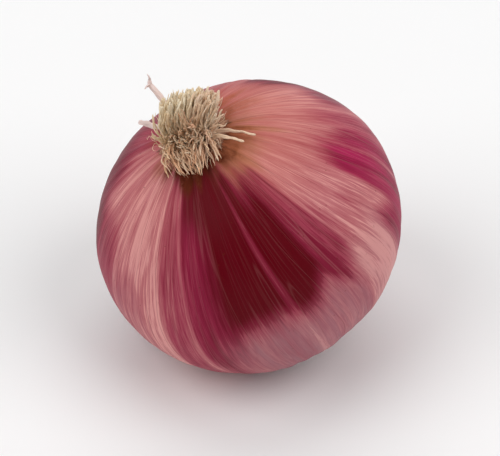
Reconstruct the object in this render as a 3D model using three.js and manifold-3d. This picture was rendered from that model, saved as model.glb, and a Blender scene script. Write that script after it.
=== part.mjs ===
// A red onion at rest on a table.
//
// The globe-shaped bulb lies on the shoulder of its neck end, with the root end turned up and over
// to one side. Its dried neck is folded under the shoulder and lies flat along the table. The root
// end carries a corky root plate, and a mop of short dried roots grows out of the plate.
//
// Units are millimetres, +Z is up, and the origin is the middle of the small flat spot that the
// bulb rests on. The bulb's own frame has its +Z running from the neck end to the root end.

import * as THREE from 'three';
import { mergeVertices } from 'three/addons/utils/BufferGeometryUtils.js';
import Module from 'manifold-3d';

const wasm = await Module();
wasm.setup();

const { degToRad, lerp, smoothstep } = THREE.MathUtils;

// ---------- driving dimensions ----------

const EQUATOR_RADIUS = 30.5;
const ROOT_HALF_HEIGHT = 28.2; // from the widest ring to the root end
const NECK_HALF_HEIGHT = 26.2; // from the widest ring to the neck end

const LEAN = degToRad(23.5); // how far the root end leans from upright
const LEAN_HEADING = degToRad(189); // the compass heading it leans to, counted from +X to +Y
const FLAT_DEPTH = 0.8; // how far the resting side is pressed flat

const GAP = 0.3; // kept between pieces that touch

const PLATE_RADIUS = 5.6;
const PLATE_RIM_HEIGHT = 27.5; // heights along the bulb's axis, from the widest ring
const PLATE_CROWN_HEIGHT = 28.5;
const PLATE_BASE_HEIGHT = 26.2;

// Slow swells round the bulb that keep it from being perfectly round.
const LOBES = [
  { count: 2, share: 0.008, turn: degToRad(35) },
  { count: 3, share: 0.006, turn: degToRad(80) },
  { count: 5, share: 0.004, turn: degToRad(10) },
];

const BULB_SIDES = 72;
const BULB_STEPS = 34;

// ---------- small helpers ----------

// A repeatable number from 0 to 1 for the nth piece of a set.
function jitter(n, salt) {
  const v = Math.sin(n * 12.9898 + salt * 78.233) * 43758.5453;
  return v - Math.floor(v);
}

function toSolid(geometry) {
  const bare = geometry.clone();
  bare.deleteAttribute('normal');
  bare.deleteAttribute('uv');
  const merged = mergeVertices(bare, 1e-4);
  return new wasm.Manifold(
    new wasm.Mesh({
      numProp: 3,
      vertProperties: new Float32Array(merged.attributes.position.array),
      triVerts: new Uint32Array(merged.index.array),
    }),
  );
}

function toGeometry(solid) {
  const mesh = solid.getMesh();
  const positions = new Float32Array(mesh.numVert * 3);
  for (let i = 0; i < mesh.numVert; i++) {
    const start = i * mesh.numProp;
    positions.set(mesh.vertProperties.subarray(start, start + 3), i * 3);
  }
  const geometry = new THREE.BufferGeometry();
  geometry.setAttribute('position', new THREE.BufferAttribute(positions, 3));
  geometry.setIndex(new THREE.BufferAttribute(mesh.triVerts, 1));
  geometry.computeVertexNormals();
  return geometry;
}

// A lathe turned round +Z. The outline runs from the lowest point of the axis to the highest.
function latheAlongZ(outline, sides) {
  return new THREE.LatheGeometry(outline, sides).rotateX(Math.PI / 2);
}

// A closed tube along a curve. halfSizes(t) gives half its width and half its thickness at t.
// With flat set, the width stays level; otherwise the section turns as little as it can.
function sweep(curve, halfSizes, steps, sides, flat = false) {
  const tube = new THREE.CylinderGeometry(1, 1, 1, sides, steps);
  const frames = curve.computeFrenetFrames(steps);
  const place = tube.attributes.position;
  const point = new THREE.Vector3();
  for (let i = 0; i < place.count; i++) {
    const t = place.getY(i) + 0.5;
    const step = Math.round(t * steps);
    const tangent = frames.tangents[step];
    const across = flat
      ? new THREE.Vector3(tangent.y, -tangent.x, 0).normalize()
      : frames.normals[step].clone();
    const outward = new THREE.Vector3().crossVectors(across, tangent);
    const [halfWidth, halfThickness] = halfSizes(t);
    point
      .copy(curve.getPointAt(t))
      .addScaledVector(across, place.getX(i) * halfWidth)
      .addScaledVector(outward, place.getZ(i) * halfThickness);
    place.setXYZ(i, point.x, point.y, point.z);
  }
  return tube;
}

// ---------- how the bulb stands ----------

const bulbFrame = new THREE.Group();
{
  const support = Math.hypot(
    NECK_HALF_HEIGHT * Math.cos(LEAN),
    EQUATOR_RADIUS * Math.sin(LEAN),
  );
  // The lowest point of a flattened bulb that leans lies a little to the leaning side of its middle.
  const offset =
    ((EQUATOR_RADIUS ** 2 - NECK_HALF_HEIGHT ** 2) * Math.sin(LEAN) * Math.cos(LEAN)) / support;
  bulbFrame.position.set(
    -offset * Math.cos(LEAN_HEADING),
    -offset * Math.sin(LEAN_HEADING),
    support - FLAT_DEPTH,
  );
  bulbFrame.rotation.set(0, LEAN, LEAN_HEADING, 'ZYX');
  bulbFrame.updateMatrix();
}

// Everything below the table top, in the table's frame.
const TABLE_SPAN = 200;
const TABLE_DEPTH = 40;
const table = new THREE.BoxGeometry(TABLE_SPAN, TABLE_SPAN, TABLE_DEPTH)
  .translate(0, 0, -TABLE_DEPTH / 2);

// ---------- bulb ----------

// The bulb's radius and height at an angle above (root side) or below (neck side) its widest ring.
function bulbOutlineAt(angle) {
  const halfHeight = angle > 0 ? ROOT_HALF_HEIGHT : NECK_HALF_HEIGHT;
  return new THREE.Vector2(EQUATOR_RADIUS * Math.cos(angle), halfHeight * Math.sin(angle));
}

function lobeScale(around) {
  const swellOf = (lobe) => lobe.share * Math.cos(lobe.count * around + lobe.turn);
  return LOBES.reduce((scale, lobe) => scale + swellOf(lobe), 1);
}

// Swells a turned shape round its own axis, least at its two ends.
function addLobes(geometry) {
  const place = geometry.attributes.position;
  for (let i = 0; i < place.count; i++) {
    const x = place.getX(i);
    const y = place.getY(i);
    const fromAxis = Math.min(1, Math.hypot(x, y) / EQUATOR_RADIUS);
    const scale = lerp(1, lobeScale(Math.atan2(y, x)), fromAxis);
    place.setX(i, x * scale);
    place.setY(i, y * scale);
  }
  return geometry;
}

// The bulb is turned from its neck end to the shallow dish that the root plate sits in. With a
// swell it stands proud by about that much.
function makeBulb(swell = 0) {
  const dishRadius = PLATE_RADIUS + GAP;
  const rimAngle = Math.acos((dishRadius + GAP) / EQUATOR_RADIUS);
  const outline = [];
  for (let i = 0; i <= BULB_STEPS; i++) {
    outline.push(bulbOutlineAt(lerp(-Math.PI / 2, rimAngle, i / BULB_STEPS)));
  }
  outline[0].x = 0;
  outline.push(
    new THREE.Vector2(dishRadius, outline.at(-1).y - GAP),
    new THREE.Vector2(dishRadius, PLATE_BASE_HEIGHT - GAP),
    new THREE.Vector2(0, PLATE_BASE_HEIGHT - GAP),
  );
  const grow = 1 + swell / NECK_HALF_HEIGHT;
  return addLobes(latheAlongZ(outline, BULB_SIDES)).scale(grow, grow, grow);
}

const tableSeenByBulb = table.clone().applyMatrix4(bulbFrame.matrix.clone().invert());
const bulbSolid = toSolid(makeBulb()).subtract(toSolid(tableSeenByBulb));

// ---------- root plate ----------

const PLATE_SIDES = 36;
const CROWN_STEPS = 5;

function plateTopAt(radius) {
  return lerp(PLATE_CROWN_HEIGHT, PLATE_RIM_HEIGHT, (radius / PLATE_RADIUS) ** 2);
}

function makeRootPlate() {
  const outline = [
    new THREE.Vector2(0, PLATE_BASE_HEIGHT),
    new THREE.Vector2(PLATE_RADIUS, PLATE_BASE_HEIGHT),
  ];
  for (let i = 0; i <= CROWN_STEPS; i++) {
    const radius = PLATE_RADIUS * (1 - i / CROWN_STEPS);
    outline.push(new THREE.Vector2(radius, plateTopAt(radius)));
  }
  return latheAlongZ(outline, PLATE_SIDES);
}

// ---------- roots ----------

const ROOT_RADIUS = 0.5;
const ROOT_SIDES = 7;
const ROOT_STEPS = 9;
const TIP_SHARE = 0.62; // a root's radius at its tip, as a share of its radius at the plate

// The roots stand together as a brush that leans to one side and is cut off aslant. On the fringe
// side they part from it and droop over the skin. Headings are degrees round the bulb's axis, slants
// and bends are degrees from it.
const MOP_LEAN_HEADING = 212;
const BRUSH_LEAN_SHARE = 1.15;
const FRINGE_LEAN_SHARE = 0.3;
const FRINGE_HEADING = 80;
const COMBING = 60; // how far the roots are combed towards the fringe side or away from it

const ROOT_LENGTH = 8.8;
const CUT_HEADING = 240; // the side on which the brush is cut shortest
const CUT_SLOPE = 0.55; // how much shorter a root is for each millimetre that it stands to that side
const FRINGE_TRIM = 0.12; // the same for the fringe, for each millimetre from the plate's middle

// A root droops not at all or fully where the cosine of its angle from the fringe heading is this.
const FRINGE_START = 0.15;
const FRINGE_FULL = 0.8;

// Each ring of roots leaves the plate at a slant and bends further outwards. The droop is added on
// the fringe side.
const ROOT_RINGS = [
  { name: 'root_centre', places: 1, ring: 0.0, slant: 2, bend: 4, droop: 0 },
  { name: 'root_inner', places: 6, ring: 1.7, slant: 4, bend: 6, droop: 50 },
  { name: 'root_middle', places: 11, ring: 3.2, slant: 7, bend: 9, droop: 90 },
  { name: 'root_outer', places: 21, ring: 4.7, slant: 9, bend: 11, droop: 113 },
];

// Longer thin roots that stray out of the mop, each in one of the outer ring's places.
const STRAY_ROOTS = [
  { name: 'root_stray_right_lower', place: 8, slant: 64, bend: 106, length: 9.6, radius: 0.32 },
  { name: 'root_stray_right_upper', place: 9, slant: 80, bend: 120, length: 9.4, radius: 0.32 },
  { name: 'root_stray_forked', place: 17, slant: 34, bend: 40, length: 10.4, radius: 0.42, fork: true },
  { name: 'root_stray_left', place: 19, slant: 58, bend: 78, length: 7.6, radius: 0.42 },
];

// The two short prongs at the tip of the forked root, and their radius at the tip.
const FORK_PRONGS = [new THREE.Vector3(-0.5, -1.0, 1.6), new THREE.Vector3(0.9, 2.2, 1.3)];
const PRONG_TIP_SHARE = 0.4;

// The course of one root: it starts on the plate and turns from slant to bend over its length.
function rootCurve({ heading, ring, slant, bend, length, turn = 0, lean = 0 }) {
  const points = [];
  const at = new THREE.Vector3(
    ring * Math.cos(degToRad(heading)),
    ring * Math.sin(degToRad(heading)),
    plateTopAt(ring) + GAP + (ROOT_RADIUS * ring) / PLATE_RADIUS,
  );
  const leaning = new THREE.Vector3(lean, 0, 0)
    .applyAxisAngle(new THREE.Vector3(0, 0, 1), degToRad(MOP_LEAN_HEADING));
  const pieces = 12;
  for (let i = 0; i <= pieces; i++) {
    points.push(at.clone());
    const t = (i + 0.5) / pieces;
    const polar = degToRad(lerp(slant, bend, smoothstep(t, 0, 1)));
    const around = degToRad(heading + turn * t);
    const way = new THREE.Vector3(
      Math.sin(polar) * Math.cos(around),
      Math.sin(polar) * Math.sin(around),
      Math.cos(polar),
    );
    at.addScaledVector(way.addScaledVector(leaning, t).normalize(), length / pieces);
  }
  return new THREE.CatmullRomCurve3(points);
}

function taperedTube(curve, from, to, steps) {
  const halfSizes = (t) => [lerp(from, to, t), lerp(from, to, t)];
  return sweep(curve, halfSizes, steps, ROOT_SIDES);
}

function makeRoot(course, radius) {
  const curve = rootCurve(course);
  const root = taperedTube(curve, radius, radius * TIP_SHARE, ROOT_STEPS);
  if (!course.fork) return root;
  let forked = toSolid(root);
  const start = curve.getPointAt(0.97);
  for (const prong of FORK_PRONGS) {
    const tip = start.clone().add(prong);
    const middle = start.clone().lerp(tip, 0.5).addScaledVector(curve.getTangentAt(1), 0.5);
    const prongCurve = new THREE.CatmullRomCurve3([start, middle, tip]);
    const shape = taperedTube(prongCurve, radius * TIP_SHARE, radius * PRONG_TIP_SHARE, 4);
    forked = forked.add(toSolid(shape));
  }
  return toGeometry(forked);
}

// ---------- dried neck ----------

// The neck grows out of the pole of the shoulder, where its base hugs the skin. It folds over there
// and lies along the table away from the bulb.
const NECK_BASE_RADIUS = 7;
const NECK_BASE_THICKNESS = 1.3;

const NECK_COURSE = new THREE.CatmullRomCurve3([
  new THREE.Vector3(12.6, -1.6, 1.5),
  new THREE.Vector3(13.8, 3.0, 1.6),
  new THREE.Vector3(15.6, 9.5, 1.6),
  new THREE.Vector3(18.2, 17.5, 1.8),
  new THREE.Vector3(20.2, 25.0, 2.6),
]);
const NECK_HALF_WIDTHS = [4.2, 4.6, 3.9, 3.2, 3.9];
const NECK_HALF_THICKNESSES = [1.4, 1.6, 1.6, 1.4, 1.2];

// Dried leaf ends that the neck splits into: where each tip lies, and its half width there.
const LEAF_ENDS = [
  { tip: new THREE.Vector3(14.6, 32.4, 2.8), halfWidth: 0.9 },
  { tip: new THREE.Vector3(19.6, 36.6, 5.6), halfWidth: 1.4 },
  { tip: new THREE.Vector3(23.8, 34.8, 2.6), halfWidth: 1.0 },
  { tip: new THREE.Vector3(27.4, 30.2, 4.4), halfWidth: 0.7 },
];
const LEAF_ROOT_BACK = 5; // how far back inside the neck each leaf end starts
const LEAF_HALF_WIDTH = 1.7;
const LEAF_HALF_THICKNESS = 0.9;

// A value read off a list that is spread evenly along a curve.
function along(values, t) {
  const place = t * (values.length - 1);
  const low = Math.min(values.length - 2, Math.floor(place));
  return lerp(values[low], values[low + 1], smoothstep(place - low, 0, 1));
}

function standingBulb(swell) {
  return toSolid(makeBulb(swell).applyMatrix4(bulbFrame.matrix));
}

function makeNeckBase() {
  const pole = new THREE.Vector3(0, 0, -NECK_HALF_HEIGHT).applyMatrix4(bulbFrame.matrix);
  const ball = new THREE.SphereGeometry(NECK_BASE_RADIUS, 28, 18).translate(...pole);
  return standingBulb(GAP + NECK_BASE_THICKNESS).intersect(toSolid(ball));
}

function makeLeafEnd({ tip, halfWidth }) {
  const end = NECK_COURSE.getPointAt(1);
  const back = NECK_COURSE.getTangentAt(1).multiplyScalar(-LEAF_ROOT_BACK);
  const fan = new THREE.Vector3((tip.x - end.x) * 0.32, 0, 0);
  const course = new THREE.CatmullRomCurve3([
    end.clone().add(back).addScaledVector(fan, 0.6),
    end.clone().add(fan),
    end.clone().lerp(tip, 0.55).addScaledVector(fan, 0.4),
    tip,
  ]);
  const halfSizes = (t) => [
    lerp(LEAF_HALF_WIDTH, halfWidth, t),
    lerp(LEAF_HALF_THICKNESS, LEAF_HALF_THICKNESS / 2, t),
  ];
  return toSolid(sweep(course, halfSizes, 10, 10, true));
}

function makeNeck() {
  const halfSizes = (t) => [along(NECK_HALF_WIDTHS, t), along(NECK_HALF_THICKNESSES, t)];
  let neck = toSolid(sweep(NECK_COURSE, halfSizes, 22, 16, true)).add(makeNeckBase());
  for (const leafEnd of LEAF_ENDS) neck = neck.add(makeLeafEnd(leafEnd));
  return neck.subtract(toSolid(table)).subtract(standingBulb(GAP));
}

// ---------- materials ----------

const skin = new THREE.MeshStandardMaterial({ color: 0x8e2740, roughness: 0.38, metalness: 0 });
const driedLeaf = new THREE.MeshStandardMaterial({ color: 0x8a7355, roughness: 0.8, metalness: 0 });
const cork = new THREE.MeshStandardMaterial({ color: 0x7a5434, roughness: 0.9, metalness: 0 });
const straw = new THREE.MeshStandardMaterial({ color: 0xc9b58a, roughness: 0.75, metalness: 0 });

// ---------- assembly ----------

function addPiece(parent, name, geometry, material) {
  const piece = new THREE.Mesh(geometry, material);
  piece.name = name;
  parent.add(piece);
}

const onion = new THREE.Group();
onion.add(bulbFrame);

addPiece(bulbFrame, 'bulb', toGeometry(bulbSolid), skin);
addPiece(bulbFrame, 'root_plate', makeRootPlate(), cork);
addPiece(onion, 'dry_neck', toGeometry(makeNeck()), driedLeaf);

ROOT_RINGS.forEach((ring, ringIndex) => {
  let number = 0;
  for (let place = 0; place < ring.places; place++) {
    const vary = (salt, amount) => (jitter(place + 20 * ringIndex, salt) - 0.5) * 2 * amount;
    const heading = (360 / ring.places) * place + vary(1, 3);
    const stray = ring.name === 'root_outer' && STRAY_ROOTS.find((root) => root.place === place);
    if (stray) {
      const course = { ...stray, heading, ring: ring.ring };
      addPiece(bulbFrame, stray.name, makeRoot(course, stray.radius), straw);
      continue;
    }
    const fromFringe = degToRad(heading - FRINGE_HEADING);
    const fringe = smoothstep(Math.cos(fromFringe), FRINGE_START, FRINGE_FULL);
    const cut = CUT_SLOPE * Math.cos(degToRad(heading - CUT_HEADING));
    const course = {
      heading,
      ring: ring.ring,
      slant: ring.slant + 0.4 * ring.droop * fringe,
      bend: ring.bend + ring.droop * fringe + vary(2, 5),
      length: ROOT_LENGTH - ring.ring * lerp(cut, FRINGE_TRIM, fringe) + vary(3, lerp(0.5, 1, fringe)),
      turn: vary(4, 8) - COMBING * Math.sin(2 * fromFringe),
      lean: lerp(BRUSH_LEAN_SHARE, FRINGE_LEAN_SHARE, fringe),
    };
    number += 1;
    const name = ring.places > 1 ? `${ring.name}_${String(number).padStart(2, '0')}` : ring.name;
    addPiece(bulbFrame, name, makeRoot(course, ROOT_RADIUS * (1 + vary(5, 0.12))), straw);
  }
});

export default onion;
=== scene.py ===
"""A red onion lying on the shoulder of its neck end, with its root end turned up.

Lengths are metres and +Z is up, as in the frame. The bulb's own frame has its +Z running from the
neck end to the root end; headings are degrees round that axis.
"""

import math

import bpy
import numpy as np
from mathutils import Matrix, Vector, noise


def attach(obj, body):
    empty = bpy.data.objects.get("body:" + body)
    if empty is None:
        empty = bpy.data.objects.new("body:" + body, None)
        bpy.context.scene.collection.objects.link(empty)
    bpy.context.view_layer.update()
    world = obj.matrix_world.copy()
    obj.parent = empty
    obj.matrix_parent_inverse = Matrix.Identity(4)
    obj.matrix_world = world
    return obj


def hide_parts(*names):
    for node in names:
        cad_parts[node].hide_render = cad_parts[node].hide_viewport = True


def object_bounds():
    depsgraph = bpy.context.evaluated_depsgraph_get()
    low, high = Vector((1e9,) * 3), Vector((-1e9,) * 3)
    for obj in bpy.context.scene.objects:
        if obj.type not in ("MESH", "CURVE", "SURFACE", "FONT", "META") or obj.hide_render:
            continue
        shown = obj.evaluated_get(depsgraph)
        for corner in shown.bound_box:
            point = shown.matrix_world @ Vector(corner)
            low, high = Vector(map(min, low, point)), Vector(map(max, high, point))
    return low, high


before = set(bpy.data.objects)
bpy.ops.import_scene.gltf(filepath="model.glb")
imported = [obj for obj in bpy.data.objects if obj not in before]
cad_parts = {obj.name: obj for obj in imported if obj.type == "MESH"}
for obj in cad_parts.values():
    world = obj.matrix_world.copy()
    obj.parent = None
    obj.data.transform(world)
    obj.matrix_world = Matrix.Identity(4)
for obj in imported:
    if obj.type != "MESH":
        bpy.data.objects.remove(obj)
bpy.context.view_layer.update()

# ---------- driving dimensions ----------

MM = 0.001

EQUATOR_RADIUS = 30.5 * MM
ROOT_HALF_HEIGHT = 28.2 * MM  # from the widest ring to the root end
NECK_HALF_HEIGHT = 26.2 * MM  # from the widest ring to the neck end
LEAN = math.radians(23.5)
LEAN_HEADING = math.radians(189)
FLAT_DEPTH = 0.8 * MM  # how much the flat spot takes off the bulb
LOBES = [(2, 0.008, 35), (3, 0.006, 80), (5, 0.004, 10)]  # count, share, turn in degrees

PLATE_RADIUS = 5.6 * MM
PLATE_RIM_HEIGHT = 27.5 * MM  # along the bulb's axis, from the widest ring
PLATE_CROWN_HEIGHT = 28.5 * MM
GAP = 0.3 * MM
FRINGE_HEADING = 80  # the side on which the roots hang down over the skin
COLLAR_HEADING = 105  # the side on which the skin is browned round the root plate
TAN_HEADING = 146  # the side on which a tan stain spreads further out
WARM_HEADING = 185  # the side on which it is salmon and rusty near the root end

BULB_COLUMNS = 360
BULB_ROWS = 230

# ---------- small helpers ----------


def jitter(n, salt):
    """A repeatable number from 0 to 1 for the nth piece of a set."""
    value = math.sin(n * 12.9898 + salt * 78.233) * 43758.5453
    return value - math.floor(value)


def vary(n, salt, amount):
    return (jitter(n, salt) - 0.5) * 2 * amount


def smooth(t):
    t = np.clip(t, 0, 1)
    return t * t * (3 - 2 * t)


def fade(value, start, end):
    """0 at start, 1 at end and smooth between."""
    return smooth((value - start) / (end - start))


def lerp(a, b, t):
    return a + (b - a) * t


def soft_noise(points, scale, octaves=2, seed=0):
    """Smooth noise of about -1 to 1 at each point."""
    shift = Vector((seed * 7.3, seed * 3.1, seed * 5.7))
    flat = (points.reshape(-1, 3) * scale).tolist()
    total = np.zeros(len(flat))
    for octave in range(octaves):
        grow = 2 ** octave
        total += np.array([noise.noise(Vector(p) * grow + shift) for p in flat]) / grow
    return total.reshape(points.shape[:-1])


def ripples(around, counts, salt):
    """Uneven ridges round an axis, about -1 to 1: a sum of waves that all close on themselves."""
    total = 0
    for k in counts:
        phase = math.tau * jitter(k, salt)
        total = total + np.cos(k * around + phase) * (0.5 + jitter(k, salt + 1))
    return total / (1.1 * math.sqrt(len(counts)))


def along_list(values, t):
    """A value read off a list that is spread evenly from t = 0 to 1."""
    place = np.clip(t, 0, 1) * (len(values) - 1)
    low = np.minimum(len(values) - 2, np.floor(place)).astype(int)
    values = np.asarray(values, float)
    blend = smooth(place - low)
    if values.ndim > 1:
        blend = blend[..., None]
    return lerp(values[low], values[low + 1], blend)


def spline(points, t):
    """A Catmull-Rom curve through the points, evenly timed."""
    points = np.asarray(points, float)
    padded = np.vstack([2 * points[0] - points[1], points, 2 * points[-1] - points[-2]])
    place = np.clip(t, 0, 1) * (len(points) - 1)
    low = np.minimum(len(points) - 2, np.floor(place)).astype(int)
    s = (place - low)[..., None]
    a, b, c, d = (padded[low + i] for i in range(4))
    square = 2 * a - 5 * b + 4 * c - d
    cube = 3 * b - a - 3 * c + d
    return 0.5 * (2 * b + (c - a) * s + square * s**2 + cube * s**3)


def rings(along, columns):
    """The grid of the given values along and of even angles round."""
    return np.meshgrid(along, np.linspace(0, math.tau, columns, endpoint=False), indexing="ij")


def unit(vectors):
    return vectors / np.linalg.norm(vectors, axis=1, keepdims=True)


def level_frame(line):
    """Unit vectors along a course, level across it and up from it, at each of its points."""
    tangent = unit(np.gradient(line, axis=0))
    across = unit(np.cross(tangent, (0, 0, 1)))
    return tangent, across, np.cross(across, tangent)


def degree_cosine(degrees):
    return np.cos(np.radians(degrees))


def add_object(name, data):
    made = bpy.data.objects.new(name, data)
    bpy.context.scene.collection.objects.link(made)
    return made


# ---------- the bulb's frame ----------

# How high the leaning bulb's middle is above its lowest point, and how far aside that point is.
SUPPORT = math.hypot(NECK_HALF_HEIGHT * math.cos(LEAN), EQUATOR_RADIUS * math.sin(LEAN))
OFFSET = (EQUATOR_RADIUS**2 - NECK_HALF_HEIGHT**2) * math.sin(LEAN) * math.cos(LEAN) / SUPPORT
CENTRE = np.array([
    -OFFSET * math.cos(LEAN_HEADING),
    -OFFSET * math.sin(LEAN_HEADING),
    SUPPORT - FLAT_DEPTH,
])
TURN = np.array([
    [math.cos(LEAN_HEADING), -math.sin(LEAN_HEADING), 0],
    [math.sin(LEAN_HEADING), math.cos(LEAN_HEADING), 0],
    [0, 0, 1],
])
TILT = np.array([
    [math.cos(LEAN), 0, math.sin(LEAN)],
    [0, 1, 0],
    [-math.sin(LEAN), 0, math.cos(LEAN)],
])
BULB_AXES = TURN @ TILT


def to_world(points):
    return points @ BULB_AXES.T + CENTRE


def to_bulb(points):
    return (points - CENTRE) @ BULB_AXES


# ---------- meshes ----------


class Shape:
    """Collects grids of points into one mesh, with named values at each point."""

    def __init__(self):
        self.points = []
        self.faces = []
        self.flat_faces = []
        self.values = {}
        self.count = 0

    def grid(self, points, closed=False, caps=False, **values):
        """Adds rows of points. closed joins each row's ends, caps closes the first and last row."""
        rows, columns = points.shape[:2]
        index = np.arange(rows * columns).reshape(rows, columns) + self.count
        right = np.roll(index, -1, axis=1) if closed else index[:, 1:]
        left = index if closed else index[:, :-1]
        quads = np.stack([left[:-1], right[:-1], right[1:], left[1:]], -1)
        self.faces.extend(quads.reshape(-1, 4).tolist())
        if caps:
            self.flat_faces.extend((len(self.faces), len(self.faces) + 1))
            self.faces.append(index[0, ::-1].tolist())
            self.faces.append(index[-1].tolist())
        self.points.append(points.reshape(-1, 3))
        for name, value in values.items():
            value = np.asarray(value, float)
            width = 3 if value.ndim > 2 else 1
            shape = (rows, columns, 3) if width == 3 else (rows, columns)
            flat = np.broadcast_to(value, shape).reshape(rows * columns, width)
            self.values.setdefault(name, []).append(flat)
        self.count += rows * columns

    def build(self, name, material, nodes=()):
        mesh = bpy.data.meshes.new(name)
        mesh.from_pydata(np.vstack(self.points).tolist(), [], self.faces)
        for key, parts in self.values.items():
            flat = np.vstack(parts)
            kind = "FLOAT_VECTOR" if flat.shape[1] == 3 else "FLOAT"
            attribute = mesh.attributes.new(key, kind, "POINT")
            attribute.data.foreach_set("vector" if kind == "FLOAT_VECTOR" else "value", flat.ravel())
        rounded = np.ones(len(mesh.polygons), bool)
        rounded[self.flat_faces] = False
        mesh.polygons.foreach_set("use_smooth", rounded)
        mesh.materials.append(material)
        mesh.update()
        piece = add_object(name, mesh)
        if nodes:
            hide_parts(*nodes)
        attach(piece, "root")
        return piece


def tube(shape, course, radii, sides, **values):
    """Adds a closed tube along a course, with a section that turns as little as it can."""
    tangents = unit(np.gradient(course, axis=0))
    across = np.empty_like(course)
    side = np.cross(tangents[0], (0.31, 0.83, 0.47))
    for i, tangent in enumerate(tangents):
        side = side - tangent * side.dot(tangent)
        side /= np.linalg.norm(side)
        across[i] = side
    up = np.cross(tangents, across)
    angle = np.linspace(0, math.tau, sides, endpoint=False)
    ring = across[:, None] * np.cos(angle)[None, :, None] + up[:, None] * np.sin(angle)[None, :, None]
    shape.grid(course[:, None] + ring * radii[..., None], closed=True, caps=True, **values)


# ---------- materials ----------


class Nodes:
    """A short way to write the nodes of a material or of the world."""

    def __init__(self, owner):
        owner.use_nodes = True
        self.owner = owner
        self.tree = owner.node_tree
        self.tree.nodes.clear()

    def put(self, socket, value):
        """Links a socket, or sets a plain number, colour or vector on it."""
        if isinstance(value, bpy.types.NodeSocket):
            self.tree.links.new(value, socket)
        elif isinstance(value, tuple):
            socket.default_value = (*value, 1)[:len(socket.default_value)]
        else:
            socket.default_value = value

    def add(self, kind, result, sockets, **settings):
        """Adds a node, fills its sockets and returns the one that its result comes out of."""
        made = self.tree.nodes.new("ShaderNode" + kind)
        for key, value in settings.items():
            setattr(made, key, value)
        for key, value in sockets.items():
            self.put(made.inputs[key], value)
        return made.outputs[result]

    def end(self, kind, surface):
        """Links what the nodes make to a new output node."""
        output = self.tree.nodes.new("ShaderNode" + kind)
        self.tree.links.new(surface, output.inputs["Surface"])

    def math(self, operation, a, b=0.0, c=0.0, clamp=False):
        return self.add("Math", 0, {0: a, 1: b, 2: c}, operation=operation, use_clamp=clamp)

    def times(self, a, b, clamp=False):
        return self.math("MULTIPLY", a, b, clamp=clamp)

    def plus(self, a, b, clamp=False):
        return self.math("ADD", a, b, clamp=clamp)

    def mix(self, share, a, b):
        return self.add("Mix", 2, {0: share, 6: a, 7: b}, data_type="RGBA")

    def value(self, name):
        return self.add("Attribute", "Fac", {}, attribute_name=name)

    def vector(self, name):
        return self.add("Attribute", "Vector", {}, attribute_name=name)

    def place(self):
        return self.add("TexCoord", "Object", {})

    def scaled(self, vector, x, y, z):
        return self.add("VectorMath", 0, {0: vector, 1: (x, y, z)}, operation="MULTIPLY")

    def axis(self, vector, name):
        return self.add("SeparateXYZ", name, {0: vector})

    def noise(self, vector, scale, detail, roughness=0.5, distortion=0.0):
        return self.add("TexNoise", "Fac", {
            "Vector": vector, "Scale": scale, "Detail": detail,
            "Roughness": roughness, "Distortion": distortion,
        })

    def span(self, value, low, high, to_low=0.0, to_high=1.0):
        """Maps low..high smoothly to to_low..to_high."""
        return self.add("MapRange", "Result", {
            "Value": value, "From Min": low, "From Max": high, "To Min": to_low, "To Max": to_high,
        }, interpolation_type="SMOOTHSTEP")

    def line(self, value, middle, width):
        """1 where the value is at the middle, falling to 0 at the width: thin lines in a noise."""
        away = self.math("ABSOLUTE", self.math("SUBTRACT", value, middle))
        return self.span(away, 0.0, width, 1.0, 0.0)

    def ramp(self, share, stops):
        made = self.tree.nodes.new("ShaderNodeValToRGB")
        made.color_ramp.interpolation = "EASE"
        while len(made.color_ramp.elements) < len(stops):
            made.color_ramp.elements.new(0.5)
        for element, (place, colour) in zip(made.color_ramp.elements, stops):
            element.position = place
            element.color = (*colour, 1)
        self.put(made.inputs[0], share)
        return made.outputs[0]

    def bump(self, height, distance, under=None):
        sockets = {"Strength": 1.0, "Distance": distance, "Height": height}
        if under:
            sockets["Normal"] = under
        return self.add("Bump", 0, sockets)

    def finish(self, colour, roughness, normal=None, specular=0.5):
        sockets = {"Base Color": colour, "Roughness": roughness, "Specular IOR Level": specular}
        if normal:
            sockets["Normal"] = normal
        self.end("OutputMaterial", self.add("BsdfPrincipled", 0, sockets))
        return self.owner


def new_material(name):
    return Nodes(bpy.data.materials.new(name))


DEEP_CRIMSON = (0.110, 0.0004, 0.005)
CRIMSON = (0.200, 0.010, 0.030)
ROSE = (0.340, 0.052, 0.082)
DUSTY_PINK = (0.480, 0.140, 0.155)
PALE_PINK = (0.710, 0.315, 0.298)
MAGENTA = (0.410, 0.012, 0.085)
SALMON = (0.540, 0.165, 0.120)
# A greyish pink; low on the skin it is partly a painted reflection of the white table.
MAUVE = (0.365, 0.162, 0.188)
RUST = (0.400, 0.105, 0.055)
TAN = (0.430, 0.175, 0.090)
COLLAR_BROWN = (0.110, 0.018, 0.006)
COLLAR_TAN = (0.340, 0.108, 0.050)
NECK_TAN = (0.620, 0.440, 0.270)
NECK_RUSSET = (0.400, 0.215, 0.115)
NECK_BROWN = (0.190, 0.085, 0.048)
STRAW = (0.900, 0.700, 0.440)
STRAW_PALE = (0.970, 0.870, 0.680)
STRAW_BROWNED = (0.790, 0.410, 0.230)
# The dark straw colour, used both for painted shade at the root bases and for the straw's darker
# blotches and fibres.
STRAW_SHADE = (0.600, 0.320, 0.165)
ROOT_BLUSH = (0.860, 0.680, 0.660)

SKIN_TONES = [(0.0, DEEP_CRIMSON), (0.28, CRIMSON), (0.52, ROSE), (0.76, DUSTY_PINK), (1.0, PALE_PINK)]
CORK_TONES = [(0.3, (0.030, 0.014, 0.008)), (0.55, COLLAR_BROWN), (0.8, COLLAR_TAN)]
PAPER_TONES = [(0.0, NECK_BROWN), (0.45, NECK_RUSSET), (1.0, NECK_TAN)]
NERVES = 58  # thin lines that run from end to end in the skin, all round the bulb


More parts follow.
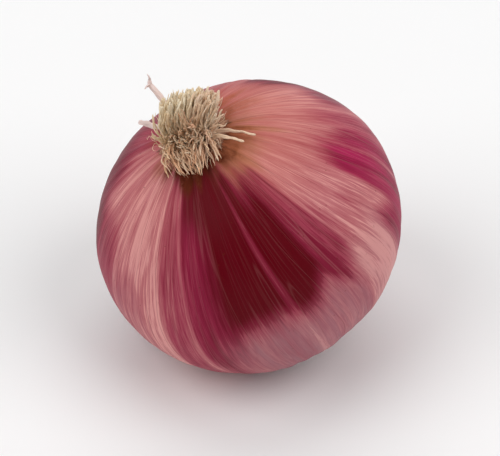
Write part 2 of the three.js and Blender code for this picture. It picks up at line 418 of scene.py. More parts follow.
def make_skin():
    """Satin papery skin: broad and fine streaks that all run from the root end to the neck."""
    n = new_material("onion_skin")
    grain = n.vector("skin_grain")
    broad = n.noise(n.scaled(grain, 3.2, 3.2, 0.35), 1.6, 3, 0.55, 0.3)
    streaks = n.noise(n.scaled(grain, 10, 10, 0.6), 1.6, 5, 0.65, 0.2)
    fibres = n.noise(n.scaled(grain, 42, 42, 1.6), 1.6, 3, 0.65)
    threads = n.noise(n.scaled(grain, 130, 130, 4.0), 1.6, 2, 0.6)
    change = n.span(broad, 0.25, 0.75, -0.15, 0.15)
    change = n.plus(change, n.span(streaks, 0.25, 0.75, -0.12, 0.12))
    change = n.plus(change, n.span(fibres, 0.3, 0.7, -0.11, 0.11))
    change = n.plus(change, n.span(threads, 0.3, 0.7, -0.09, 0.09))
    change = n.times(change, n.value("streaking"))
    tone = n.plus(n.value("paleness"), change)
    colour = n.ramp(tone, SKIN_TONES)
    magenta = n.times(n.value("magenta"), n.span(streaks, 0.30, 0.65, 0.40, 1.15), clamp=True)
    colour = n.mix(magenta, colour, MAGENTA)
    mauve = n.times(n.value("mauve"), n.span(streaks, 0.30, 0.65, 1.05, 0.55), clamp=True)
    colour = n.mix(mauve, colour, MAUVE)
    colour = n.mix(n.value("salmon"), colour, SALMON)

    vein_field = n.noise(n.scaled(grain, 5.5, 5.5, 0.28), 1.6, 1, 0.4)
    main_veins = n.line(vein_field, 0.5, 0.012)
    fine_field = n.noise(n.scaled(grain, 17, 17, 0.45), 1.6, 1, 0.4)
    fine_veins = n.line(fine_field, 0.5, 0.05)
    veins = n.math("MAXIMUM", main_veins, n.times(fine_veins, 0.45))
    vein_share = n.times(n.times(veins, 0.16), n.value("streaking"))
    colour = n.mix(vein_share, colour, PALE_PINK)

    around = n.math("ARCTAN2", n.axis(grain, "Y"), n.axis(grain, "X"))
    wobble = n.times(n.noise(n.scaled(grain, 2.2, 2.2, 0.9), 1.6, 2), 3.0)
    nerves = n.line(n.math("SINE", n.math("MULTIPLY_ADD", around, NERVES / 2, wobble)), 0.0, 0.14)
    nerves = n.times(nerves, n.span(n.noise(n.scaled(grain, 9, 9, 1.5), 1.6, 2), 0.40, 0.60))
    nerve_share = n.times(nerves, n.span(tone, 0.30, 0.85, 0.0, 0.42))
    colour = n.mix(nerve_share, colour, CRIMSON)
    flecks = n.span(n.noise(n.place(), 1300, 2, 0.5), 0.70, 0.78, 0.0, 0.45)
    colour = n.mix(flecks, colour, COLLAR_BROWN)

    blotch = n.noise(n.place(), 420, 3, 0.6)
    rust = n.times(n.value("rust"), n.span(blotch, 0.25, 0.65, 0.5, 1.1), clamp=True)
    colour = n.mix(rust, colour, RUST)
    tan = n.times(n.value("tan"), n.span(blotch, 0.25, 0.65, 0.6, 1.1), clamp=True)
    colour = n.mix(tan, colour, TAN)
    brown = n.times(n.value("browning"), n.span(blotch, 0.2, 0.7, 0.65, 1.15), clamp=True)
    # How dark the brown is: painted shade under the fringe, and real browning at the neck end.
    brown_depth = n.plus(n.value("brown_depth"), n.span(blotch, 0.3, 0.7, -0.35, 0.35), clamp=True)
    brown_tone = n.mix(brown_depth, COLLAR_TAN, COLLAR_BROWN)
    colour = n.mix(brown, colour, brown_tone)

    roughness = n.plus(n.span(streaks, 0.3, 0.7, 0.40, 0.48), n.times(brown, 0.25))
    paper = n.noise(n.place(), 2600, 2, 0.6)
    height = n.plus(n.times(fibres, 0.5), n.times(streaks, 0.6))
    height = n.plus(height, n.times(veins, 0.35))
    height = n.plus(height, n.times(nerves, 0.45))
    normal = n.bump(height, 0.10 * MM)
    normal = n.bump(paper, 0.012 * MM, under=normal)
    return n.finish(colour, roughness, normal, specular=0.07)


def make_straw():
    """Dried roots: pale straw, with painted shade where they leave the plate and crowd together, each
    strand a little different.
    """
    n = new_material("dried_root")
    along = n.value("along")
    fibres = n.noise(n.scaled(n.vector("root_grain"), 3.2, 3.2, 1.2), 1.3, 3, 0.6)
    blotch = n.noise(n.place(), 700, 2, 0.6)
    colour = n.mix(n.value("strand"), STRAW, STRAW_PALE)
    colour = n.mix(n.value("browned"), colour, STRAW_BROWNED)
    # Painted shade: the strands darken towards their bases, where they crowd at the plate. The blotch
    # and fibre terms are the straw's own uneven tone.
    painted_shade_and_tone = n.plus(n.span(along, 0.0, 0.25, 0.10, 0.0), n.span(blotch, 0.50, 0.80, 0.0, 0.20))
    painted_shade_and_tone = n.plus(painted_shade_and_tone, n.span(fibres, 0.30, 0.60, 0.14, 0.0), clamp=True)
    colour = n.mix(painted_shade_and_tone, colour, STRAW_SHADE)
    colour = n.mix(n.value("blush"), colour, ROOT_BLUSH)
    normal = n.bump(n.plus(fibres, n.times(blotch, 0.4)), 0.10 * MM)
    return n.finish(colour, n.span(fibres, 0.3, 0.7, 0.58, 0.75), normal, specular=0.3)


def make_cork():
    n = new_material("root_plate_cork")
    lumps = n.noise(n.place(), 900, 4, 0.65)
    colour = n.ramp(lumps, CORK_TONES)
    return n.finish(colour, 0.85, n.bump(lumps, 0.25 * MM), 0.3)


def make_paper():
    """Dry brown leaf paper, for the collar round the root plate and for the neck."""
    n = new_material("dry_leaf_paper")
    grain = n.vector("leaf_grain")
    ribs = n.noise(n.scaled(grain, 26, 26, 1.2), 1.5, 4, 0.65)
    blotch = n.noise(n.scaled(grain, 5, 5, 1.6), 1.5, 3, 0.6)
    tone = n.plus(n.span(ribs, 0.3, 0.7, -0.30, 0.30), n.span(blotch, 0.25, 0.75, 0.15, 0.85))
    colour = n.ramp(tone, PAPER_TONES)
    skin = n.mix(n.span(tone, 0.2, 0.9), CRIMSON, DUSTY_PINK)
    colour = n.mix(n.value("skin_share"), colour, skin)
    colour = n.mix(n.value("edge"), colour, NECK_BROWN)
    height = n.plus(ribs, n.times(blotch, 0.5))
    return n.finish(colour, n.span(blotch, 0.3, 0.7, 0.5, 0.72), n.bump(height, 0.12 * MM), 0.4)


SKIN = make_skin()
DRY_ROOT = make_straw()
CORK = make_cork()
LEAF_PAPER = make_paper()

# ---------- bulb ----------

# The streaks run from the root end to the neck and spread apart from one heading on their way.
SPREAD = 13  # degrees
SPREAD_HEADING = 95

# Bands of the skin that run along the streaks, painted one over the other. Headings are where the
# streaks leave the root end, latitudes are degrees from the widest ring towards the root end.
SKIN_BANDS = [
    # middle, half width, top, bottom, paleness, magenta, mauve
    (24, 27, 90, 43, 0.90, 0.00, 0.0),  # round the root end
    (186, 34, 90, 38, 0.81, 0.00, 0.0),
    (148, 17, 90, 38, 0.71, 0.00, 0.0),
    (322, 18, 90, 52, 0.42, 0.20, 0.0),
    (13, 10, 38, -90, 0.50, 0.10, 0.0),  # the left side
    # The next two are kept dark partly as painted shade along the left rim.
    (352, 13, 43, -90, 0.10, 0.10, 0.0),
    (332, 20, 58, -90, 0.05, 0.15, 0.0),
    # This pale ridge is partly a painted highlight.
    (36, 9, 66, 22, 0.96, 0.00, 0.0),
    (35, 9, 24, -90, 0.76, 0.00, 0.2),
    (51, 5, 60, -90, 0.88, 0.00, 0.0),
    (61, 6, 80, -90, 0.47, 0.15, 0.0),
    (57, 4, 66, 12, 0.60, 0.05, 0.0),
    (73, 8, 90, -14, 0.26, 0.20, 0.0),  # the dark sector under the fringe
    # This band is darkest partly as painted shade under the hanging roots.
    (75, 9, 90, 50, 0.06, 0.00, 0.0),
    (118, 13, 90, 46, 0.38, 0.00, 0.0),
    (93, 14, 90, 6, -0.02, 0.00, 0.0),
    (112, 9, 52, 6, 0.00, 0.00, 0.0),
    (123, 6, 66, 4, 0.33, 0.10, 0.0),
    # This greyish pink is partly a painted reflection of the white table.
    (100, 23, 0, -60, 0.62, 0.00, 0.8),  # and the greyish pink skin below it
    (137, 8, 90, -90, 0.76, 0.00, 0.0),  # the right side
    # This pale greyish patch low on the right is partly a painted highlight and reflection.
    (134, 11, 10, -60, 0.98, 0.00, 0.3),
    (147, 4, 90, -90, 0.78, 0.00, 0.0),
    (150, 9, 4, -60, 0.22, 0.45, 0.0),
    (159, 7, 38, -90, 0.18, 0.80, 0.0),
    (173, 6, 31, -90, 0.34, 0.72, 0.0),
    (171, 13, 4, -90, 0.08, 0.50, 0.0),
    (166, 1.4, 44, -70, 0.52, 0.45, 0.0),
    (177, 1.8, 30, -60, 0.48, 0.35, 0.0),
    (184, 6, 46, -90, 0.66, 0.20, 0.0),
    # The next two are darker partly as painted shade on the back rim.
    (208, 13, 36, -90, 0.24, 0.10, 0.3),  # the back
    (228, 12, 49, -90, 0.02, 0.15, 0.0),
    (247, 9, 70, -90, 0.60, 0.00, 0.0),
    (266, 8, 80, -90, 0.34, 0.30, 0.0),
    (282, 5, 90, -90, 0.72, 0.00, 0.0),
    (299, 9, 70, -90, 0.30, 0.20, 0.0),
]
END_FEATHER = 9  # degrees of latitude over which a band's ends fade
# Thin pale veins that stand out: heading, strength.
PALE_VEINS = [(26, 0.14), (41, 0.16), (52, 0.22), (65, 0.46), (100, 0.46), (133, 0.20), (154, 0.30),
              (166, 0.34), (190, 0.16), (226, 0.24), (262, 0.24), (291, 0.20), (326, 0.20), (344, 0.24)]
PALE_VEIN_WIDTH = 1.2  # degrees


def band_mask(streak, latitude, middle, half_width, top, bottom):
    away = np.abs((streak - middle + 180) % 360 - 180)
    sides = fade(away, 1.35 * half_width, 0.65 * half_width)
    upper = fade(latitude, top + END_FEATHER, top - END_FEATHER)
    return sides * upper * fade(latitude, bottom - END_FEATHER, bottom + END_FEATHER)


def bulb_outline(angle):
    half_height = np.where(angle > 0, ROOT_HALF_HEIGHT, NECK_HALF_HEIGHT)
    return EQUATOR_RADIUS * np.cos(angle), half_height * np.sin(angle)


def lobe_scale(around):
    return 1 + sum(share * np.cos(count * around + math.radians(turn)) for count, share, turn in LOBES)


def bulb_surface(angle, around, proud=0.0):
    """Points on the plain bulb, in its own frame, and lifted off it along its outward normal."""
    radius, height = bulb_outline(angle)
    from_axis = np.minimum(1, radius / EQUATOR_RADIUS)
    radius = radius * lerp(1, lobe_scale(around), from_axis)
    half_height = np.where(angle > 0, ROOT_HALF_HEIGHT, NECK_HALF_HEIGHT)
    slope_r = np.cos(angle) / EQUATOR_RADIUS
    slope_z = np.sin(angle) / half_height
    length = np.hypot(slope_r, slope_z)
    radius = radius + proud * slope_r / length
    height = height + proud * slope_z / length
    return np.stack([radius * np.cos(around), radius * np.sin(around), height], -1)


# The depth of the skin's relief. Facets, dents and ribs are all over it. Towards the neck and the
# roots the ribs deepen by the amounts below and there are pleats as well.
FACET_DEPTH = 0.10 * MM
DENT_DEPTH = 0.14 * MM
DENT_SIZE = 13 * MM
RIB_DEPTH = 0.035 * MM
NECK_RIB_DEPTH = 0.30 * MM
ROOT_RIB_DEPTH = 0.10 * MM
NECK_PLEAT_DEPTH = 0.55 * MM
ROOT_PLEAT_DEPTH = 0.22 * MM


def skin_relief(angle, around):
    """How far the skin stands in or out: soft facets, ribs, and pleats towards both ends."""
    meander = around + 0.03 * np.sin(2.3 * angle + 0.7) + 0.02 * np.sin(5.1 * angle + 2 * around)
    near_neck = fade(-angle, math.radians(35), math.radians(80))
    near_root = fade(angle, math.radians(50), math.radians(76))
    off_poles = np.maximum(0, np.cos(angle))
    facets = ripples(meander, range(6, 15), 3) * FACET_DEPTH * off_poles
    rib_depth = RIB_DEPTH + NECK_RIB_DEPTH * near_neck + ROOT_RIB_DEPTH * near_root
    ribs = ripples(meander, range(24, 54), 5) * rib_depth
    pleat_depth = NECK_PLEAT_DEPTH * near_neck + ROOT_PLEAT_DEPTH * near_root
    pleats = ripples(meander, range(13, 24), 9) * pleat_depth * fade(off_poles, 0.0, 0.22)
    bumps = soft_noise(bulb_surface(angle, around), 1 / DENT_SIZE, 2, seed=4)
    dents = bumps * DENT_DEPTH * fade(off_poles, 0.0, 0.3)
    return facets + ribs + pleats + dents


# How the skin's edge rolls over and goes down beside the root plate: inward and down, in millimetres.
EDGE_ROLL = [(0.35, 0.10), (0.60, 0.45), (0.70, 1.50)]
FIRST_RING = 0.004  # how far the first ring of points is from the neck end, as an angle


def make_bulb():
    dish_radius = PLATE_RADIUS + GAP
    rim = math.acos((dish_radius + GAP) / EQUATOR_RADIUS)
    angle, around = rings(np.linspace(-math.pi / 2 + FIRST_RING, rim, BULB_ROWS), BULB_COLUMNS)
    points = bulb_surface(angle, around, skin_relief(angle, around))
    edge = points[-1]
    for inward, down in EDGE_ROLL:
        ring = edge * (1 - inward * MM / dish_radius)
        ring[:, 2] = edge[:, 2] - down * MM
        points = np.concatenate([points, ring[None]])
    angle = np.vstack([angle, np.repeat(angle[-1:], len(EDGE_ROLL), axis=0)])
    around = np.vstack([around, np.repeat(around[-1:], len(EDGE_ROLL), axis=0)])
    world = to_world(points)
    world[..., 2] = np.maximum(world[..., 2], 0.0)

    heading = np.degrees(around)
    latitude = np.degrees(angle)
    spreading = SPREAD * np.sin(np.radians(heading - SPREAD_HEADING)) * fade(latitude, 60, -20)
    wander = 1.2 * np.sin(np.radians(latitude) * 2.6) + 1.2 * ripples(around, range(3, 8), 21)
    streak = (heading - spreading + wander) % 360
    torn = latitude + 3.0 * ripples(np.radians(streak), range(9, 34), 35)
    paleness = lerp(0.58, 0.76, fade(latitude, 30, 60)) + 0.05 * ripples(around, range(5, 14), 37)
    magenta = np.zeros_like(paleness)
    mauve = np.zeros_like(paleness)
    for middle, half_width, top, bottom, band_paleness, band_magenta, band_mauve in SKIN_BANDS:
        mask = band_mask(streak, torn, middle, half_width, top, bottom)
        paleness = lerp(paleness, band_paleness, mask)
        magenta = lerp(magenta, band_magenta, mask)
        mauve = lerp(mauve, band_mauve, mask)
    streaking = 0.35 + 0.65 * fade(paleness, 0.0, 0.5)
    for vein, strength in PALE_VEINS:
        away = (streak - vein + 180) % 360 - 180
        patchy = 0.7 + 0.3 * np.sin(np.radians(latitude) * 4 + vein)
        vein_mask = patchy * np.exp(-((away / PALE_VEIN_WIDTH) ** 2))
        paleness = paleness + strength * vein_mask
        magenta = magenta * (1 - 0.6 * vein_mask)
    paleness = paleness - 0.25 * fade(-latitude, 30, 75)
    warm_cosine = degree_cosine(heading - WARM_HEADING)
    warm = fade(warm_cosine, -0.1, 0.9)
    salmon = fade(latitude, 26, 66) * (0.10 + 0.50 * warm) * fade(paleness, 0.15, 0.6)
    ragged = ripples(around, range(9, 40), 31) * 2.2 + ripples(around, range(4, 9), 33) * 2.5
    stained = fade(degree_cosine(heading - COLLAR_HEADING), -0.1, 0.65)
    collar = fade(latitude + ragged, 71 - 5 * stained, 77 - 4 * stained) * (0.35 + 0.65 * stained)
    tan_side = fade(degree_cosine(heading - TAN_HEADING), 0.55, 0.95)
    tan = 0.62 * tan_side * fade(latitude + ragged + 3 * ripples(around, range(14, 40), 39), 57, 71)
    rust = 0.75 * fade(latitude + 2 * ragged, 60, 74) * fade(warm_cosine, -0.2, 0.5)
    # Painted shade: the collar is darker brown under the fringe, where the hanging roots shade it.
    brown_depth = fade(degree_cosine(heading - FRINGE_HEADING), 0.55, 0.95)
    neck_end = fade(-latitude + 1.5 * ragged, 64, 86)
    browning = np.clip(collar + 0.7 * neck_end, 0, 1)
    course = np.radians(streak)
    grain = np.stack([np.cos(course), np.sin(course), angle], -1)

    shape = Shape()
    shape.grid(world, closed=True, caps=True, skin_grain=grain, paleness=paleness,
               streaking=streaking, magenta=magenta, mauve=mauve, salmon=salmon, rust=rust, tan=tan,
               browning=browning, brown_depth=np.maximum(brown_depth, neck_end))
    shape.build("bulb_skin", SKIN, ["bulb"])


make_bulb()

# ---------- root plate and the collar of torn skin round it ----------

PLATE_REACH = PLATE_RADIUS + 0.25 * MM  # the cork runs out under the skin's rolled edge
PLATE_SKIRT = 2.2 * MM  # how far the cork goes down at its rim
CORK_LUMP_SIZE = 1.1 * MM
CORK_LUMP_HEIGHT = 0.30 * MM


def plate_top(radius):
    return lerp(PLATE_CROWN_HEIGHT, PLATE_RIM_HEIGHT, (radius / PLATE_RADIUS) ** 2)


def make_root_plate():
    reach, around = rings(np.linspace(0.01, 1, 40), 120)
    radius = reach * PLATE_REACH
    height = plate_top(radius) - PLATE_SKIRT * fade(reach, 0.86, 1.0)
    points = np.stack([radius * np.cos(around), radius * np.sin(around), height], -1)
    lumps = soft_noise(points, 1 / CORK_LUMP_SIZE, 3, seed=2)
    points[..., 2] += lumps * CORK_LUMP_HEIGHT * fade(reach, 1.0, 0.8)
    shape = Shape()
    shape.grid(to_world(points[::-1]), closed=True, caps=True)
    shape.build("root_plate_cork", CORK, ["root_plate"])


make_root_plate()

COLLAR_REACH = 1.35 * MM
COLLAR_RAGGED = 0.65 * MM
COLLAR_LEAST_REACH = 0.4 * MM
COLLAR_THICKNESS = 0.05 * MM
COLLAR_LIFT = 0.10 * MM
COLLAR_CURL = 0.30 * MM  # how far its torn edge curls up beyond that


def make_collar():
    """A thin torn edge of dry skin that lies on the bulb round the root plate."""
    share, around = rings(np.linspace(0, 1, 14), 640)
    tear = ripples(around, range(5, 17), 41) + 0.5 * ripples(around, range(24, 60), 43)
    tear += 0.4 * ripples(around, range(60, 130), 47)
    reach = np.maximum(COLLAR_LEAST_REACH, COLLAR_REACH + COLLAR_RAGGED * tear)
    radius = PLATE_RADIUS + reach * share
    angle = np.arccos(np.clip(radius / EQUATOR_RADIUS, 0, 1))
    curl = 0.5 + 0.5 * ripples(around, range(4, 20), 45)
    proud = COLLAR_LIFT + COLLAR_CURL * np.maximum(0, curl) * share**2
    points = to_world(bulb_surface(angle, around, skin_relief(angle, around) + proud))
    grain = np.stack([np.cos(around), np.sin(around), share], -1)
    shape = Shape()
    shape.grid(points, closed=True, leaf_grain=grain, edge=0.3 * fade(share, 0.8, 1.0), skin_share=0.25)
    piece = shape.build("root_collar", LEAF_PAPER)
    solidify = piece.modifiers.new("thickness", "SOLIDIFY")
    solidify.thickness = COLLAR_THICKNESS
    solidify.offset = 0


make_collar()

# ---------- roots ----------

ROOT_RADIUS = 0.5 * MM
STRANDS_PER_ROOT = 3
STRAND_CRINKLE = 0.26 * MM
STRAY_CRINKLE = 0.2 * MM
MOP_LEAN_HEADING = 212
BRUSH_LEAN_SHARE = 1.15
FRINGE_LEAN_SHARE = 0.3
ROOT_LENGTH = 8.8  # in millimetres, like the rings and the stray roots below
CUT_HEADING = 240  # the side on which the brush is cut shortest
CUT_SLOPE = 0.55  # how much shorter a root is for each millimetre that it stands to that side
FRINGE_TRIM = 0.12  # the same for the fringe, for each millimetre from the plate's middle
BLUSH_HEADING = 165
# Cosines of the headings, away from the fringe's own, where the droop starts and where it is full.
FRINGE_SPAN = (0.15, 0.80)
FRINGE_SHARE = 0.4  # roots that droop less than this were trimmed off flat
COMBING = 60  # degrees by which roots are combed towards the fringe side or away from it

# Each ring of roots: name, places, ring radius, slant, bend, droop on the fringe side.
ROOT_RINGS = [
    ("root_centre", 1, 0.0, 2, 4, 0),
    ("root_inner", 6, 1.7, 4, 6, 50),
    ("root_middle", 11, 3.2, 7, 9, 90),
    ("root_outer", 21, 4.7, 9, 11, 113),
]
OUTER = len(ROOT_RINGS) - 1
# Roots that stray out of the mop, by place in the outer ring: name, slant, bend, length, radius.
STRAY_ROOTS = {
    8: ("root_stray_right_lower", 64, 106, 9.6, 0.32),
    9: ("root_stray_right_upper", 80, 120, 9.4, 0.32),
    17: ("root_stray_forked", 34, 40, 10.4, 0.42),
    19: ("root_stray_left", 58, 78, 7.6, 0.42),
}
FORK_PRONGS = [(-0.5, -1.0, 1.6), (0.9, 2.2, 1.3)]  # from the forked root's tip
ROOTED_BACK = 0.5  # how far back along its way a root starts, so that it is rooted in the plate
GOLDEN_SHARE = 0.618034
STRAY_SEED = 200
PRONG_SEED = 230


def root_course(heading, ring, slant, bend, length, turn=0.0, lean=0.0, steps=26):
    """The middle line of a root, in the bulb's frame: it turns from slant to bend as it goes."""
    t = (np.arange(steps) + 0.5) / steps
    polar = np.radians(lerp(slant, bend, smooth(t)))
    around = np.radians(heading + turn * t)
    way = np.stack([np.sin(polar) * np.cos(around), np.sin(polar) * np.sin(around), np.cos(polar)], -1)
    leaning = np.radians(MOP_LEAN_HEADING)
    way = unit(way + lean * t[:, None] * np.array([math.cos(leaning), math.sin(leaning), 0]))
    start = np.array([
        ring * math.cos(math.radians(heading)),
        ring * math.sin(math.radians(heading)),
        (plate_top(ring * MM) + GAP) / MM + (ROOT_RADIUS / PLATE_RADIUS) * ring,
    ])
    start = start - way[0] * ROOTED_BACK
    return (start + np.vstack([np.zeros(3), np.cumsum(way * length / steps, axis=0)])) * MM


def crinkle(course, n, amount):
    """Waves along a root, still at its base, as dried roots have."""
    t = np.linspace(0, 1, len(course))
    offset = np.zeros_like(course)
    for wave in range(1, 6):
        turn = math.tau * (jitter(n, 10 + wave) + wave * 0.8 * t)
        direction = np.array([vary(n, 20 + wave, 1), vary(n, 30 + wave, 1), vary(n, 40 + wave, 1)])
        offset += np.sin(turn)[:, None] * direction / wave
    return course + offset * (amount * fade(t, 0.0, 0.6))[:, None]


def add_strand(shape, course, radius, n, sides=16, cut=False, blush=0.0, browned=0.0):
    """Adds one dried root: shrunken, flat and furrowed. Its tip is a fine point, or trimmed off."""
    t, angle = rings(np.linspace(0, 1, len(course)), sides)
    twisted = angle + vary(n, 1, 3.0) * t + math.tau * jitter(n, 2)
    flat = 1 + 0.36 * np.cos(2 * twisted)
    furrows = 0.13 * np.cos(4 * twisted + 1.3) + 0.10 * np.cos(6 * twisted + 6 * jitter(n, 3))
    lumps = 0.09 * np.sin(11 * t + 6 * jitter(n, 4)) + 0.06 * np.sin(31 * t + 6 * jitter(n, 5))
    tip_share = 0.80 if cut else 0.24
    taper = lerp(1.0, tip_share, t**1.4) * (1 + lumps) * (1 - 0.35 * fade(t, 0.965, 1.0))
    grain = np.stack([np.cos(twisted), np.sin(twisted), 1.5 * t + n * 3.7], -1)
    tube(shape, to_world(course), radius * (flat + furrows) * taper, sides,
         along=t, strand=jitter(n, 7), blush=blush, browned=browned * (0.3 + 0.6 * jitter(n, 6)),
         root_grain=grain)


def warm_side(heading):
    """1 on the side where the brush is warmer in colour, 0 on the other."""
    return float(fade(math.cos(math.radians(heading - BLUSH_HEADING)), 0.3, 0.95))


def mop_length(heading, ring_radius, fringe):
    """How long a root of the mop is before it varies: the brush is cut off aslant."""
    cut = CUT_SLOPE * math.cos(math.radians(heading - CUT_HEADING))
    return ROOT_LENGTH - ring_radius * lerp(cut, FRINGE_TRIM, fringe)


def ring_heading(place, ring_index):
    return 360 / ROOT_RINGS[ring_index][1] * place + vary(place + 20 * ring_index, 1, 3)


def ring_root(place, ring_index):
    """One of the mop's roots: course and radius, as in the CAD, and its shares of fringe and warmth."""
    radius, slant, bend, droop = ROOT_RINGS[ring_index][2:]
    n = place + 20 * ring_index
    heading = ring_heading(place, ring_index)
    from_fringe = math.radians(heading - FRINGE_HEADING)
    fringe = float(fade(math.cos(from_fringe), *FRINGE_SPAN))
    course = root_course(
        heading,
        radius,
        slant + 0.4 * droop * fringe,
        bend + droop * fringe + vary(n, 2, 5),
        mop_length(heading, radius, fringe) + vary(n, 3, lerp(0.5, 1, fringe)),
        turn=vary(n, 4, 8) - COMBING * math.sin(2 * from_fringe),
        lean=lerp(BRUSH_LEAN_SHARE, FRINGE_LEAN_SHARE, fringe),
    )
    return course, ROOT_RADIUS * (1 + vary(n, 5, 0.12)), fringe, warm_side(heading)


def split_root(course, number, radius):
    """Thin strands that leave the plate as one root and wind apart as they go."""
    t = np.linspace(0, 1, len(course))
    for k in range(STRANDS_PER_ROOT):
        n = STRANDS_PER_ROOT * number + k
        turn = math.tau * (k / STRANDS_PER_ROOT + jitter(number, 8)) + 2.5 * t
        way = np.stack([np.cos(turn), np.sin(turn), 0.3 * np.sin(2 * turn)], -1)
        apart = radius * (0.35 + 0.45 * t)[:, None] * way
        line = crinkle(course + apart, n, STRAND_CRINKLE)
        last = round(len(course) * lerp(0.86, 1.0, jitter(n, 11)))
        yield line[:last], n


def browning_share(fringe, warmth):
    return max(fringe**2, 0.5 * warmth)


def make_mop():
    number = 0
    for ring_index, (name, places, *_) in enumerate(ROOT_RINGS):
        shape = Shape()
        nodes = []
        for place in range(places):
            if ring_index == OUTER and place in STRAY_ROOTS:
                continue
            course, radius, fringe, warmth = ring_root(place, ring_index)
            number += 1
            cut = fringe < FRINGE_SHARE
            browned = browning_share(fringe, warmth)
            for line, n in split_root(course, number, radius):
                thin = radius * lerp(0.38, 0.58, jitter(n, 9))
                add_strand(shape, line, thin, n, 12, cut, 0.15 * warmth, browned)
            nodes.append(f"{name}_{len(nodes) + 1:02d}" if places > 1 else name)
        shape.build(name + "_strands", DRY_ROOT, nodes)


def make_stray_roots():
    outer_ring = ROOT_RINGS[OUTER][2]
    for place, (name, slant, bend, length, radius) in STRAY_ROOTS.items():
        heading = ring_heading(place, OUTER)
        n = STRAY_SEED + place
        course = crinkle(root_course(heading, outer_ring, slant, bend, length), n, STRAY_CRINKLE)
        pale = name in ("root_stray_forked", "root_stray_left")
        blush = 0.9 if pale else 0.15
        plump = 1.08 if pale else 0.9
        shape = Shape()
        add_strand(shape, course, plump * radius * MM, n, cut=True, blush=blush, browned=1 - pale)
        if name == "root_stray_forked":
            for n, prong in enumerate(FORK_PRONGS, PRONG_SEED):
                line = course[-2] + np.array(prong) * MM * np.linspace(0, 1, 9)[:, None]
                line = crinkle(line, n, STRAY_CRINKLE)
                add_strand(shape, line, 0.75 * radius * MM, n, blush=blush)
        shape.build(name + "_strand", DRY_ROOT, [name])


def ring_profile(ring_radius):
    """Slant, bend and droop at any distance from the plate's middle."""
    radii = [ring[2] for ring in ROOT_RINGS]
    return [float(np.interp(ring_radius, radii, [ring[k] for ring in ROOT_RINGS])) for k in (3, 4, 5)]


def make_filling(name, count, seed, radii, lengths, stray, waviness, sides, steps,
                 arc=360, reach=5.1, droops=(1.0, 1.0), browned_share=1.0):
    """Thinner roots that fill the mop between the main ones, in an arc round the fringe heading.

    radii, lengths and droops are ranges, the last two as shares of what a main root there has.
    """
    shape = Shape()
    for i in range(count):
        n = seed + i
        ring = reach * math.sqrt((i + 0.5) / count)
        heading = FRINGE_HEADING + arc * ((i * GOLDEN_SHARE) % 1 - 0.5) + vary(n, 1, 9)
        slant, bend, droop = ring_profile(ring)
        droop *= lerp(*droops, jitter(n, 8))
        from_fringe = math.radians(heading - FRINGE_HEADING)
        fringe = float(fade(math.cos(from_fringe), *FRINGE_SPAN))
        course = root_course(
            heading,
            ring,
            slant + 0.4 * droop * fringe + vary(n, 2, stray * 0.6),
            bend + droop * fringe + vary(n, 3, stray),
            mop_length(heading, ring, fringe) * lerp(*lengths, jitter(n, 4)),
            turn=vary(n, 5, 2 * stray) - COMBING * math.sin(2 * from_fringe),
            lean=lerp(BRUSH_LEAN_SHARE, FRINGE_LEAN_SHARE, fringe),
            steps=steps,
        )
        radius = lerp(*radii, jitter(n, 6) ** 1.5)
        course = crinkle(course, n, waviness)
        warmth = warm_side(heading)
        cut = fringe < FRINGE_SHARE
        browned = browned_share * browning_share(fringe, warmth)
        add_strand(shape, course, radius, n, sides, cut, 0.15 * warmth, browned)
    shape.build(name, DRY_ROOT)


make_mop()
make_stray_roots()
make_filling("root_filling", count=320, seed=400, radii=(0.11 * MM, 0.26 * MM), lengths=(0.80, 1.03),
             stray=6, waviness=0.28 * MM, sides=9, steps=24)
make_filling("root_stubs", count=240, seed=1000, radii=(0.12 * MM, 0.26 * MM), lengths=(0.50, 0.90),
             stray=12, waviness=0.22 * MM, sides=8, steps=16, arc=190, reach=4.6, droops=(0.1, 0.9),
             browned_share=0.4)
make_filling("root_hairs", count=260, seed=700, radii=(0.05 * MM, 0.11 * MM), lengths=(0.5, 1.06),
             stray=12, waviness=0.5 * MM, sides=5, steps=18)

# ---------- dried neck ----------

NECK_COURSE = np.array([
    (12.6, -1.6, 1.5), (13.8, 3.0, 1.6), (15.6, 9.5, 1.6), (18.2, 17.5, 1.8), (20.2, 25.0, 2.6),
]) * MM
NECK_HALF_WIDTHS = [4.2, 4.6, 3.9, 3.2, 3.9]
NECK_HALF_THICKNESSES = [1.4, 1.6, 1.6, 1.4, 1.2]
NECK_RING_RADIUS = 7.2 * MM  # the ring on the bulb where the skin starts to leave it
NECK_RING_REACH = 2.2 * MM  # how much further the ring reaches on the side that the neck lies
NECK_RING_TURN = 170  # the bulb's heading that looks along +X
NECK_GATHERED = 0.68  # how far along its course the neck has become narrow
NECK_RUN = 11 * MM  # how gently it turns into its narrow course
NECK_FOLD = 0.4 * MM
NECK_CRUMPLE = 0.20 * MM
NECK_CRUMPLE_SIZE = 2.4 * MM
NECK_LIFT = 0.05 * MM  # how far off the bulb the ring lies
NECK_ROWS, NECK_COLUMNS = 150, 110
LEAF_ROWS, LEAF_COLUMNS = 44, 22
LEAF_THICKNESS = 0.09 * MM
LEAF_TEAR = 2.4 * MM  # how unevenly the ends are torn
LEAF_ROOT_BACK = 5 * MM  # how far back inside the neck each leaf end starts
SKIN_CLEARANCE = 0.06 * MM
FLOOR_CLEARANCE = 0.04 * MM

# Leaf ends: the tip in millimetres, half width, curl and roll in degrees.
LEAF_ENDS = [
    ((14.6, 32.4, 2.8), 1.5, 0.9, 15), ((19.6, 36.6, 5.6), 2.1, 0.8, -20),
    ((23.8, 34.8, 2.6), 1.6, 1.0, 30), ((27.4, 30.2, 4.4), 1.3, 1.1, -35),
    ((17.2, 34.6, 1.6), 1.4, 0.6, 8), ((21.8, 33.2, 4.6), 1.7, 1.2, 50),
    ((25.4, 32.6, 1.4), 1.2, 0.5, -12),
]


